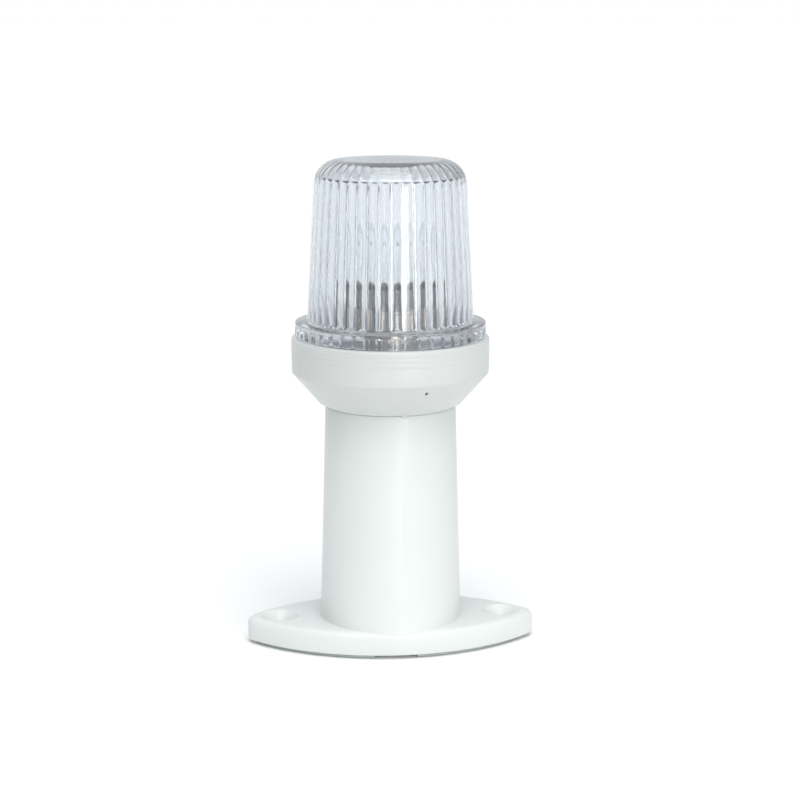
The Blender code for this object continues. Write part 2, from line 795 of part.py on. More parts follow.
def contact_parts():
    """The sprung plunger that feeds the bulb's centre contact."""
    head_low = SPRING_TOP + GAP
    turned(
        "contact_plunger",
        [
            (0, CAP_LOW - 0.0018 - GAP),
            (0.0016, CAP_LOW - 0.0020 - GAP),
            (0.0020, head_low + 0.0010),
            (0.0046, head_low + 0.0010),
            (0.0046, head_low),
            (0.0011, head_low),
            (0.0011, SOCKET_LOW + 0.0003),
            (0, SOCKET_LOW),
        ],
        BRASS, steps=24,
    )
    turns = SPRING_TURNS
    each = 8
    rise = (SPRING_TOP - SPRING_LOW - 2 * SPRING_WIRE) / (turns * each)
    coil = []
    for index in range(turns * each + 1):
        angle = math.tau * index / each
        height = SPRING_LOW + SPRING_WIRE + rise * index
        coil.append((SPRING_RADIUS * math.cos(angle), SPRING_RADIUS * math.sin(angle), height))
    wire("contact_spring", coil, SPRING_WIRE, STEEL)


def bulb():
    """Single-contact bayonet bulb: glass, cap with two pins, stem, wires and filament."""
    wall = CAP_WALL
    cap = turned(
        "bulb_cap",
        [
            (CAP_RADIUS - 0.0002, CAP_TOP),
            (CAP_RADIUS, CAP_TOP - 0.0005),
            (CAP_RADIUS, CAP_LOW + 0.0006),
            (CAP_RADIUS - 0.0006, CAP_LOW),
            (CAP_RADIUS - 0.0006 - wall, CAP_LOW),
            (CAP_RADIUS - 0.0006 - wall, CAP_LOW + 0.0006),
            (CAP_RADIUS - wall, CAP_LOW + 0.0012),
            (CAP_RADIUS - wall, CAP_TOP),
        ],
        NICKEL, steps=28, ring=True,
    )
    for side, word in ((-1, "left"), (1, "right")):
        start = (side * (CAP_RADIUS - wall - 0.0003), 0.0, PIN_HEIGHT)
        end = (side * PIN_REACH, 0.0, PIN_HEIGHT)
        join(cap, level_cylinder(f"bulb_pin_{word}", PIN_RADIUS, start, end, steps=12))
    turned(
        "bulb_insulator",
        [
            (0, CAP_LOW + 0.0004),
            (CAP_RADIUS - 0.0014, CAP_LOW + 0.0004),
            (CAP_RADIUS - 0.0014, CAP_LOW - 0.0002),
            (0.0034, CAP_LOW - 0.0010),
            (0, CAP_LOW - 0.0010),
        ],
        BLACK_GLASS, steps=24,
    )
    turned(
        "bulb_contact",
        [
            (0, CAP_LOW - 0.0012),
            (0.0022, CAP_LOW - 0.0012),
            (0.0017, CAP_LOW - 0.0017),
            (0, CAP_LOW - 0.0018),
        ],
        BRASS, steps=16,
    )
    neck = CAP_RADIUS - wall - GAP
    glass_wall = BULB_WALL
    centre = BULB_TOP - BULB_RADIUS
    outer = arc((0.0, centre), BULB_RADIUS, 90, -38, 8)
    inner = arc((0.0, centre), BULB_RADIUS - glass_wall, -38, 90, 7)
    neck_low = CAP_TOP - 0.0040
    turned(
        "bulb_glass",
        outer
        + [(neck, CAP_TOP + 0.0006), (neck, neck_low), (neck - glass_wall, neck_low)]
        + [(neck - glass_wall, CAP_TOP + 0.0008)]
        + inner,
        GLASS, steps=28,
    )
    stem_top = CAP_TOP + 0.0030
    turned(
        "bulb_stem",
        [
            (0, stem_top),
            (0.0010, stem_top - 0.0003),
            (0.0015, stem_top - 0.0030),
            (0.0030, neck_low + 0.0006),
            (0.0052, neck_low - 0.0002),
            (0, neck_low - 0.0002),
        ],
        GLASS, steps=24,
    )
    wire_top = centre + 0.0006
    for side, word in ((-1, "left"), (1, "right")):
        wire(
            f"filament_wire_{word}",
            [
                (side * 0.0005, 0, stem_top + 0.0003),
                (side * 0.0012, 0, stem_top + 0.0014),
                (side * 0.0030, 0, wire_top - 0.0006),
                (side * 0.0032, 0, wire_top),
            ],
            0.0002, TUNGSTEN,
        )
    count = 14
    loops = []
    for index in range(count + 1):
        share = 2 * index / count - 1
        angle = math.pi * 0.5 * index
        loops.append(
            (
                0.0029 * share,
                0.0004 * math.cos(angle),
                wire_top + 0.0008 + 0.0012 * (1 - share * share) + 0.0004 * math.sin(angle),
            )
        )
    wire("filament", loops, 0.00012, TUNGSTEN)


def smooth_route(points, each):
    """Points along a smooth curve through the given ones."""
    knots = [Vector(p) for p in points]
    knots = [2 * knots[0] - knots[1], *knots, 2 * knots[-1] - knots[-2]]
    route = []
    for a, b, c, d in zip(knots, knots[1:], knots[2:], knots[3:]):
        for step in range(each):
            t = step / each
            route.append(
                0.5 * (2 * b + (c - a) * t + (2 * a - 5 * b + 4 * c - d) * t**2
                       + (3 * b - a - 3 * c + d) * t**3)
            )
    return [*route, knots[-2]]


def wiring():
    """Two leads from the holder's terminals down the pole to the terminal block."""
    face = BLOCK_Y - BLOCK_SIZE[1] / 2
    red = [
        (0.0040, 0, 0.0790), (0.0036, 0, 0.0783), (0.0021, 0, 0.0775), (0.0015, 0, 0.0760),
        (0.0014, 0, 0.0720),
        (0.0022, -0.0030, 0.0660), (0.0042, -0.0100, 0.0560), (0.0050, -0.0150, 0.0420),
        (WAY_X, -0.0160, 0.0260), (WAY_X, -0.0158, 0.0160), (WAY_X, -0.0145, 0.0112),
        (WAY_X, face - 0.0012, WAY_Z + 0.0002), (WAY_X, face - 0.0004, WAY_Z),
    ]
    black = [
        (0, -0.0090, 0.0802), (-0.0002, -0.0082, 0.0792), (-0.0009, -0.0042, 0.0787),
        (-0.0014, -0.0014, 0.0776), (-0.0014, -0.0002, 0.0755), (-0.0014, 0, 0.0720),
        (-0.0022, -0.0030, 0.0660), (-0.0042, -0.0100, 0.0560), (-0.0050, -0.0150, 0.0420),
        (-WAY_X, -0.0160, 0.0260), (-WAY_X, -0.0158, 0.0160), (-WAY_X, -0.0145, 0.0112),
        (-WAY_X, face - 0.0012, WAY_Z + 0.0002), (-WAY_X, face - 0.0004, WAY_Z),
    ]
    for name, route, side, material in (
        ("red", red, 1, RED_SLEEVE), ("black", black, -1, BLACK_SLEEVE)
    ):
        wire(f"lead_{name}", smooth_route(route, 2), LEAD_RADIUS, material)
        level_cylinder(
            f"core_{name}", 0.0005, (side * WAY_X, face - 0.0001, WAY_Z),
            (side * WAY_X, face + 0.0042, WAY_Z), COPPER, steps=8,
        )


def terminal_block():
    """Two-way screw terminal, held down by one screw from under the foot's web."""
    width, depth, height = BLOCK_SIZE
    high = BLOCK_LOW + height
    body = block(
        "terminal_block", (-width / 2, BLOCK_Y - depth / 2, BLOCK_LOW),
        (width / 2, BLOCK_Y + depth / 2, high), NATURAL_NYLON,
    )
    number = 0
    for side, word in ((-1, "left"), (1, "right")):
        x = side * WAY_X
        ends = (x, BLOCK_Y - depth / 2 - CUT, WAY_Z), (x, BLOCK_Y + depth / 2 + CUT, WAY_Z)
        cut(body, level_cylinder(f"way_cut_{word}", WAY_RADIUS, *ends, steps=14))
        half = depth / 2 - 0.0006
        sleeve = level_cylinder(
            f"terminal_sleeve_{word}", WAY_RADIUS - GAP, (x, BLOCK_Y - half, WAY_Z),
            (x, BLOCK_Y + half, WAY_Z), BRASS, steps=14,
        )
        cut(sleeve, level_cylinder(f"sleeve_bore_{word}", 0.0013, *ends, steps=10))
        for step in (-0.5, 0.5):
            number += 1
            y = BLOCK_Y + step * SCREW_PITCH
            cut(body, cylinder(f"screw_way_{number}", 0.0019, WAY_Z, high + CUT, x, y, steps=10))
            cut(sleeve, cylinder(f"screw_tap_{number}", 0.0014, WAY_Z, high, x, y, steps=10))
            screw = cylinder(
                f"terminal_screw_{number}", 0.0011, WAY_Z + 0.0008, high - 0.0006, x, y, STEEL, steps=10
            )
            slot = block(
                f"terminal_slot_{number}", (x - 0.0015, y - 0.0002, high - 0.0012),
                (x + 0.0015, y + 0.0002, high),
            )
            cut(screw, slot)
    hole = cylinder("block_screw_cut", 0.0012, BLOCK_LOW - CUT, high + CUT, 0, BLOCK_Y, steps=10)
    cut(body, hole)
    seat = BASE_LOW
    screw = turned(
        "block_screw",
        [
            (0, BLOCK_LOW + 0.0070),
            (0.0004, BLOCK_LOW + 0.0070),
            (0.0009, BLOCK_LOW + 0.0062),
            (0.0009, seat + 0.0002),
            (0, seat + 0.0002),
        ],
        STEEL, steps=12,
    )
    screw.location.y = BLOCK_Y


base_pad()
pedestal()
grommet("entry_grommet", BASE_LOW, WEB_TOP, ENTRY_RADIUS, 0.0035, 0.0, ENTRY_Y)
terminal_block()
head_housing()
grommet("head_grommet", PLUG_LOW, HEAD_FLOOR, HEAD_HOLE_RADIUS, 0.0034)
seal_ring("pole_seal", POLE_SEAL_RADIUS, POLE_SEAL_SECTION, sum(SEAL_GROOVE) / 2, BLACK_RUBBER, 32)
for sign, hand in ((-1, "left"), (1, "right")):
    pan_head_screw(f"head_screw_{hand}", sign * BOSS_X, 0, HEAD_FLOOR, 0.0026, 0.0020, 0.0120)
lamp_holder()
contact_parts()
wiring()
bulb()
seal_ring("lens_seal", LENS_SEAL_RADIUS, LENS_SEAL_SECTION, sum(RING_GROOVE) / 2, PALE_RUBBER, 40)
lens()
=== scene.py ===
"""The look of the all-round navigation light: finely moulded pedestal, head and pad, the
ribbed clear lens, the bulb with its holder and spring, procedural finishes for every piece,
a pale floor and soft studio light. Metres, +Z up, in the frame of the CAD solids."""

import json
import math

import bmesh
import bpy
from mathutils import Matrix, Vector


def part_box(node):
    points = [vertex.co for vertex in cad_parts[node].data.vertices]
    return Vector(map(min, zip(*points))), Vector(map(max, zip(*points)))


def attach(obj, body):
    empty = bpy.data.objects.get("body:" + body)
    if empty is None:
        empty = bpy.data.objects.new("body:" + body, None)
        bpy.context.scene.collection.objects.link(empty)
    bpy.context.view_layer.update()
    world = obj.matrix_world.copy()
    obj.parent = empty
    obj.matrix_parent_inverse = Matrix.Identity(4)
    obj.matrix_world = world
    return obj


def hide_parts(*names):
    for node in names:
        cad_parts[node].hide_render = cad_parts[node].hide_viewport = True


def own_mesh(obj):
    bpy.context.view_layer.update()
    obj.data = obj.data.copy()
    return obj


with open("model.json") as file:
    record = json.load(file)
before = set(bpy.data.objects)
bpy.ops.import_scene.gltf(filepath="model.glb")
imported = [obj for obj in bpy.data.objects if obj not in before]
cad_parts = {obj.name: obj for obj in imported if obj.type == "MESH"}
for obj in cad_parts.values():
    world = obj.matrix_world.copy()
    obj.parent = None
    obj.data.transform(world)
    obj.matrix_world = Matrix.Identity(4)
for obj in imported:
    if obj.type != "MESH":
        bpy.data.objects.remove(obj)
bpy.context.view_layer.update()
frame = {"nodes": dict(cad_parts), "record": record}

MM = 0.001
CUT = 1.0 * MM  # how far a cutter runs past the face that it opens

# Lowest and highest corners of the CAD solids that the pieces are fitted to
PAD_LOW, PAD_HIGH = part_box("base_pad")
FOOT_LOW, FOOT_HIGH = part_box("pedestal")
HEAD_LOW, HEAD_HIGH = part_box("head_housing")
LENS_LOW, LENS_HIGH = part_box("lens")
SHELL_LOW, SHELL_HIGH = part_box("socket_shell")
HOLDER_LOW, HOLDER_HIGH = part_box("holder_base")
CAP_LOW, CAP_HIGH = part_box("bulb_cap")
GLASS_LOW, GLASS_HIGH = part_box("bulb_glass")

# Base and pole
BASE_LOW = FOOT_LOW.z
BASE_TOP = BASE_LOW + 7.0 * MM
BASE_HALF_LENGTH = FOOT_HIGH.x
BASE_HALF_DEPTH = FOOT_HIGH.y
BASE_TIP = 5.5 * MM
BASE_EDGE = 2.1 * MM
DECK_SCREW_X = 35.0 * MM
DECK_SCREW_RADIUS = 2.6 * MM
RECESS_RADIUS = 5.85 * MM
POLE_FOOT = 22.0 * MM
POLE_HEAD = 20.2 * MM
POLE_TOP = FOOT_HIGH.z
WALL = 2.5 * MM
WEB_TOP = BASE_LOW + 2.5 * MM
ENTRY_Y = 9.5 * MM
ENTRY_RADIUS = 5.0 * MM
BOSS_X = 14.0 * MM
BOSS_RADIUS = 4.6 * MM
BOSS_LOW = 60.0 * MM
BOSS_TOP = 72.0 * MM
PILOT_RADIUS = 1.5 * MM
SCREW_HOLE_RADIUS = 1.7 * MM

# Pad
PAD_TIP = 4.2 * MM
PAD_OPENING_RADIUS = 16.5 * MM
PAD_NOTCH_HALF = 6.5 * MM
PAD_EDGE = 0.25 * MM

# Head
CONE_LOW = POLE_TOP + 0.06 * MM  # closer than the solids, so that no dark line shows
CONE_HIGH = 85.9 * MM
CONE_FOOT = 21.2 * MM
HEAD_RADIUS = HEAD_HIGH.x
HEAD_TOP = HEAD_HIGH.z
HEAD_BORE = 28.3 * MM
HEAD_FLOOR = 76.0 * MM
KEY_AZIMUTH = math.radians(8)
KEY_DEPTH = 0.6 * MM
KEY_HALF = 1.1 * MM
KEY_GAP = 0.06 * MM
DRAIN_AZIMUTH = math.radians(17.6)
DRAIN_HEIGHT = 83.5 * MM
DRAIN_RADIUS = 0.5 * MM
POST_Y = 14.6 * MM
POST_RADIUS = 3.0 * MM

# Lens
RIBS = 42
TEETH = 48
COLUMNS = 672  # whole numbers of columns to each rib and to each tooth
RIB_HEIGHT = 1.0 * MM
RIB_PITCH_RADIUS = 23.0 * MM
RIB_END = 24  # degrees up the inner shoulder
RIB_END_LENGTH = 12  # degrees over which a rib's end rounds off
RIB_FADE = 0.15  # share of the rib height that runs on over the shoulder
RIB_LOW = LENS_LOW.z + 15.0 * MM
TOOTH_DEPTH = 0.8 * MM
CROWN = 0.6 * MM  # rise of the top's middle over its rim
THREAD_LEAD = 18.0 * MM
THREAD_SWEEP = math.radians(36)
THREAD_STARTS = 3
THREAD_HEIGHT = 1.5 * MM

# Lamp and its holder
PIN_HEIGHT = 100.7 * MM
PIN_RADIUS = 1.0 * MM
RIVET_Y = 9.8 * MM
RIVET_HOLE_RADIUS = 1.0 * MM
CAP_DROP = 1.8 * MM  # the cap's visible rim below the top of its solid
PLUNGER_TRAVEL = 2.0 * MM

# Studio
WORLD_DARK = 0.13
WORLD_BRIGHT = 0.84
DARK_AZIMUTH = math.radians(20)
FLOOR_HALF = 20.0
KEY_LIGHT_AZIMUTH = math.radians(16)
KEY_LIGHT_ELEVATION = math.radians(10)
KEY_LIGHT_DISTANCE = 0.9
KEY_LIGHT_AIM = 0.05
CAMERA_AT = (-0.0510, -0.6168, 0.1971)
CAMERA_DOWN = 11.02  # degrees
CAMERA_TURN = -5.0  # degrees
CAMERA_LENS = 91.575


# --- shapes -----------------------------------------------------------------------------


def add(name, mesh, material, body, nodes, smooth=35):
    """A visible piece that stands for CAD nodes and rides on their body. Edges sharper than
    smooth degrees stay sharp."""
    mesh.shade_smooth()
    mesh.set_sharp_from_angle(angle=math.radians(smooth))
    mesh.materials.clear()
    mesh.materials.append(material)
    made = bpy.data.objects.new(name, mesh)
    bpy.context.scene.collection.objects.link(made)
    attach(made, body)
    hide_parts(*nodes)
    return made


def rounded(corners, steps=5):
    """The (radius, height, rounding) corners as (radius, height) points, with arcs."""
    points = []
    for index, (r, z, size) in enumerate(corners):
        here = Vector((r, z))
        if not size:
            points.append((r, z))
            continue
        before = Vector(corners[index - 1][:2]) - here
        after = Vector(corners[(index + 1) % len(corners)][:2]) - here
        half = before.angle(after) / 2
        reach = size / math.tan(half)
        start = here + before.normalized() * reach
        end = here + after.normalized() * reach
        centre = here + (before.normalized() + after.normalized()).normalized() * size / math.sin(half)
        first = start - centre
        turn = first.angle_signed(end - centre)
        for step in range(steps + 1):
            spoke = first.copy()
            spoke.rotate(Matrix.Rotation(-turn * step / steps, 2))
            points.append(tuple(centre + spoke))
    return points


def grid_mesh(name, rows, ring=False):
    """A closed mesh from rows of points that go round the piece. The first and the last row
    are capped, or joined to each other on a ring."""
    count = max(len(row) for row in rows)
    points = []
    starts = []
    for row in rows:
        starts.append(len(points))
        points.extend(row)
    faces = []
    pairs = list(zip(range(len(rows)), range(1, len(rows))))
    if ring:
        pairs.append((len(rows) - 1, 0))
    for a, b in pairs:
        for i in range(count):
            j = (i + 1) % count
            upper = [starts[a]] if len(rows[a]) == 1 else [starts[a] + i, starts[a] + j]
            lower = [starts[b]] if len(rows[b]) == 1 else [starts[b] + j, starts[b] + i]
            faces.append(upper + lower)
    if not ring:
        for index, forward in ((0, True), (len(rows) - 1, False)):
            if len(rows[index]) > 1:
                cap = [starts[index] + i for i in range(count)]
                faces.append(cap[::-1] if forward else cap)
    mesh = bpy.data.meshes.new(name)
    mesh.from_pydata(points, [], faces)
    shape = bmesh.new()
    shape.from_mesh(mesh)
    bmesh.ops.recalc_face_normals(shape, faces=shape.faces)
    shape.to_mesh(mesh)
    shape.free()
    return mesh


def turned(name, profile, columns=128, ring=False, bend=None):
    """A profile of (radius, height) points turned about Z. bend(index, angle) may add to a
    point's radius and height."""
    rows = []
    for index, (r, z) in enumerate(profile):
        if r < 1e-7:
            rows.append([(0.0, 0.0, z)])
            continue
        row = []
        for column in range(columns):
            angle = math.tau * column / columns
            out, up = bend(index, angle) if bend else (0.0, 0.0)
            row.append(((r + out) * math.cos(angle), (r + out) * math.sin(angle), z + up))
        rows.append(row)
    return grid_mesh(name, rows, ring)


def cylinder(radius, low, high, x=0.0, y=0.0, steps=48, wide=None):
    shape = bmesh.new()
    bmesh.ops.create_cone(
        shape, cap_ends=True, segments=steps, radius1=radius, radius2=wide or radius,
        depth=high - low, matrix=Matrix.Translation((x, y, (low + high) / 2)),
    )
    mesh = bpy.data.meshes.new("cylinder")
    shape.to_mesh(mesh)
    shape.free()
    return mesh


def box_mesh(low, high, azimuth=0.0):
    shape = bmesh.new()
    size = [b - a for a, b in zip(low, high)]
    middle = [(a + b) / 2 for a, b in zip(low, high)]
    matrix = Matrix.Rotation(azimuth, 4, "Z") @ Matrix.Translation(middle)
    bmesh.ops.create_cube(shape, size=1.0, matrix=matrix @ Matrix.Diagonal((*size, 1.0)))
    mesh = bpy.data.meshes.new("box")
    shape.to_mesh(mesh)
    shape.free()
    return mesh


def combined(mesh, steps):
    """The mesh after a list of ("UNION" or "DIFFERENCE", other mesh) steps."""
    base = bpy.data.objects.new("base", mesh)
    bpy.context.scene.collection.objects.link(base)
    tools = []
    for operation, other in steps:
        tool = bpy.data.objects.new("tool", other)
        bpy.context.scene.collection.objects.link(tool)
        tools.append(tool)
        boolean = base.modifiers.new("combine", "BOOLEAN")
        boolean.operation = operation
        boolean.object = tool
    bpy.context.view_layer.update()
    graph = bpy.context.evaluated_depsgraph_get()
    made = bpy.data.meshes.new_from_object(base.evaluated_get(graph))
    for helper in [base, *tools]:
        bpy.data.objects.remove(helper)
    return made


def pointed_oval(half_length, half_depth, tip, side_steps=48, tip_steps=14):
    """Two side arcs that meet two round tips without a corner."""
    reach = half_length - tip
    side = (reach**2 + half_depth**2 - tip**2) / (2 * (half_depth - tip))
    drop = side - half_depth
    meet = math.atan2(drop, reach)
    outline = []
    for centre, radius, first, last, steps in (
        ((reach, 0.0), tip, -meet, meet, tip_steps),
        ((0.0, -drop), side, meet, math.pi - meet, side_steps),
        ((-reach, 0.0), tip, math.pi - meet, math.pi + meet, tip_steps),
        ((0.0, drop), side, math.pi + meet, math.tau - meet, side_steps),
    ):
        for step in range(steps):
            angle = first + (last - first) * step / steps
            outline.append(
                (centre[0] + radius * math.cos(angle), centre[1] + radius * math.sin(angle))
            )
    return outline


def oval_slab(name, levels, half_length, half_depth, tip):
    """A slab of pointed-oval outlines, each level an (inset, height)."""
    rows = []
    for inset, height in levels:
        outline = pointed_oval(half_length - inset, half_depth - inset, tip - inset)
        rows.append([(x, y, height) for x, y in outline])
    return grid_mesh(name, rows)


def tube(name, points, radius, sides=12):
    """A round wire mesh along the points, its ends closed."""
    curve = bpy.data.curves.new(name, "CURVE")
    curve.dimensions = "3D"
    curve.bevel_depth = radius
    curve.bevel_resolution = max(1, sides // 4 - 1)
    curve.use_fill_caps = True
    spline = curve.splines.new("POLY")
    spline.points.add(len(points) - 1)
    for point, at in zip(spline.points, points):
        point.co = (*at, 1.0)
    guide = bpy.data.objects.new(name + "_path", curve)
    bpy.context.scene.collection.objects.link(guide)
    bpy.context.view_layer.update()
    graph = bpy.context.evaluated_depsgraph_get()
    mesh = bpy.data.meshes.new_from_object(guide.evaluated_get(graph))
    bpy.data.objects.remove(guide)
    shape = bmesh.new()
    shape.from_mesh(mesh)
    bmesh.ops.remove_doubles(shape, verts=shape.verts, dist=0.000001)
    bmesh.ops.recalc_face_normals(shape, faces=shape.faces)
    shape.to_mesh(mesh)
    shape.free()
    return mesh


def ease(value):
    value = min(1.0, max(0.0, value))
    return value * value * (3 - 2 * value)


def front(radius, azimuth):
    """The point at this radius, turned from the front (-Y) towards +X."""
    return (radius * math.sin(azimuth), -radius * math.cos(azimuth))


def thread_bend(height, low, angle, depth):
    """How far a thread start stands out at this height and angle."""
    out = 0.0
    for start in range(THREAD_STARTS):
        turn = (angle - math.tau * start / THREAD_STARTS) % math.tau
        if turn > THREAD_SWEEP:
            continue
        above = height - low - THREAD_LEAD * turn / math.tau
        if -1e-6 <= above <= THREAD_HEIGHT + 1e-6:
            out = depth
    return out


# --- finishes ---------------------------------------------------------------------------


class Finish:
    """A Principled material with helpers for its colour, roughness and bump patterns."""

    def __init__(self, name, colour, roughness, metallic=0.0):
        self.material = bpy.data.materials.new(name)
        self.material.use_nodes = True
        self.tree = self.material.node_tree
        self.shader = self.tree.nodes["Principled BSDF"]
        self.shader.inputs["Base Color"].default_value = (*colour, 1.0)
        self.shader.inputs["Roughness"].default_value = roughness
        self.shader.inputs["Metallic"].default_value = metallic
        self.colour = colour
        self.roughness = roughness
        self.where = self.node("ShaderNodeTexCoord").outputs["Object"]

    def node(self, kind, **values):
        made = self.tree.nodes.new(kind)
        for key, value in values.items():
            setattr(made, key, value)
        return made

    def link(self, a, b):
        self.tree.links.new(a, b)

    def noise(self, scale, detail=3.0, stretch=(1, 1, 1)):
        mapping = self.node("ShaderNodeMapping")
        mapping.inputs["Scale"].default_value = stretch
        noise = self.node("ShaderNodeTexNoise")
        noise.inputs["Scale"].default_value = scale
        noise.inputs["Detail"].default_value = detail
        self.link(self.where, mapping.inputs["Vector"])
        self.link(mapping.outputs["Vector"], noise.inputs["Vector"])
        return noise.outputs["Fac"]

    def ramp(self, value, low, high, first, last):
        """Maps the value from low..high to first..last."""
        made = self.node("ShaderNodeMapRange")
        for key, number in (("From Min", low), ("From Max", high), ("To Min", first), ("To Max", last)):
            made.inputs[key].default_value = number
        self.link(value, made.inputs["Value"])
        return made.outputs["Result"]

    def vary_colour(self, value, darker, low=0.35, high=0.65):
        mix = self.node("ShaderNodeMix", data_type="RGBA")
        mix.inputs["A"].default_value = (*[c * darker for c in self.colour], 1.0)
        mix.inputs["B"].default_value = (*self.colour, 1.0)
        self.link(self.ramp(value, low, high, 0.0, 1.0), mix.inputs["Factor"])
        self.link(mix.outputs["Result"], self.shader.inputs["Base Color"])

    def vary_roughness(self, value, spread):
        out = self.ramp(value, 0.3, 0.7, self.roughness - spread, self.roughness + spread)
        self.link(out, self.shader.inputs["Roughness"])

    def bump(self, value, strength, distance):
        bump = self.node("ShaderNodeBump")
        bump.inputs["Strength"].default_value = strength
        bump.inputs["Distance"].default_value = distance
        self.link(value, bump.inputs["Height"])
        self.link(bump.outputs["Normal"], self.shader.inputs["Normal"])


def moulded_plastic(name, colour, roughness, grain=1800.0):
    made = Finish(name, colour, roughness)
    made.vary_colour(made.noise(35.0, 4.0), 0.975)
    made.vary_roughness(made.noise(90.0), 0.05)
    made.bump(made.noise(grain, 2.0), 0.12, 0.05 * MM)
    made.shader.inputs["Specular IOR Level"].default_value = 0.5
    return made.material


def rubber(name, colour, roughness):
    made = Finish(name, colour, roughness)
    made.vary_colour(made.noise(60.0, 5.0), 0.86)
    made.vary_roughness(made.noise(220.0), 0.06)
    made.bump(made.noise(2600.0, 3.0), 0.3, 0.06 * MM)
    return made.material


def metal(name, colour, roughness, stretch=(1, 1, 12)):
    made = Finish(name, colour, roughness, 1.0)
    made.vary_colour(made.noise(120.0, 5.0), 0.72)
    made.vary_roughness(made.noise(700.0, 3.0, stretch), 0.09)
    made.bump(made.noise(1500.0, 2.0, stretch), 0.1, 0.03 * MM)
    return made.material


def clear(name, tint, index, roughness, haze, thin, pane):
    """Clear glass or plastic. haze is the share of light that it scatters, thin the share
    that crosses it unbent, tinted by pane. Rays that look for a lamp all cross unbent."""
    made = Finish(name, tint, roughness)
    made.shader.inputs["Transmission Weight"].default_value = 1.0 - haze
    made.shader.inputs["IOR"].default_value = index
    output = made.tree.nodes["Material Output"]
    path = made.node("ShaderNodeLightPath")
    through = made.node("ShaderNodeBsdfTransparent")
    through.inputs["Color"].default_value = (*pane, 1.0)
    share = made.node("ShaderNodeMath", operation="MAXIMUM")
    share.inputs[1].default_value = thin
    made.link(path.outputs["Is Shadow Ray"], share.inputs[0])
    mix = made.node("ShaderNodeMixShader")
    made.link(share.outputs["Value"], mix.inputs["Fac"])
    made.link(made.shader.outputs["BSDF"], mix.inputs[1])
    made.link(through.outputs["BSDF"], mix.inputs[2])
    made.link(mix.outputs["Shader"], output.inputs["Surface"])
    return made.material


WHITE = moulded_plastic("white_plastic", (0.72, 0.755, 0.74), 0.36)
# A darker copy of the white plastic for the head: painted shade, for the head getting less light than the
# pole
HEAD_WHITE_PAINTED_SHADE = moulded_plastic("white_plastic_head_painted_shade", (0.60, 0.625, 0.615), 0.36)
PALE = rubber("pale_rubber", (0.50, 0.53, 0.55), 0.75)
BLACK = rubber("black_rubber", (0.022, 0.022, 0.024), 0.6)
LENS = clear(
    "lens_plastic", (0.86, 0.885, 0.915), 1.49, 0.08, haze=0.05, thin=0.0, pane=(0.90, 0.91, 0.93)
)
GLASS = clear(
    "bulb_glass", (0.985, 0.990, 0.995), 1.30, 0.0, haze=0.0, thin=0.85, pane=(0.99, 0.995, 1.0)
)
NICKEL = metal("nickel_plate", (0.42, 0.385, 0.36), 0.30)
# A darker copy of the nickel plate for the bulb cap: painted shade, for the cap sitting in shade inside the
# lens
CAP_NICKEL_PAINTED_SHADE = metal("nickel_plate_cap_painted_shade", (0.22, 0.22, 0.235), 0.30)
BRASS = metal("brass", (0.72, 0.50, 0.22), 0.32)
STEEL = metal("steel", (0.60, 0.60, 0.61), 0.28)
COPPER = metal("copper", (0.78, 0.38, 0.24), 0.30)
TUNGSTEN = metal("tungsten", (0.24, 0.23, 0.22), 0.42)
SOLDER = metal("solder", (0.55, 0.55, 0.54), 0.45, (1, 1, 1))
PHENOLIC = moulded_plastic("brown_phenolic", (0.075, 0.036, 0.022), 0.42, 900.0)
VITRITE = moulded_plastic("black_glass", (0.012, 0.012, 0.016), 0.14, 400.0)
NYLON = moulded_plastic("nylon", (0.70, 0.69, 0.62), 0.45)
RED = moulded_plastic("red_insulation", (0.45, 0.022, 0.016), 0.42)
DARK = moulded_plastic("black_insulation", (0.016, 0.016, 0.017), 0.42)


# --- pieces -----------------------------------------------------------------------------


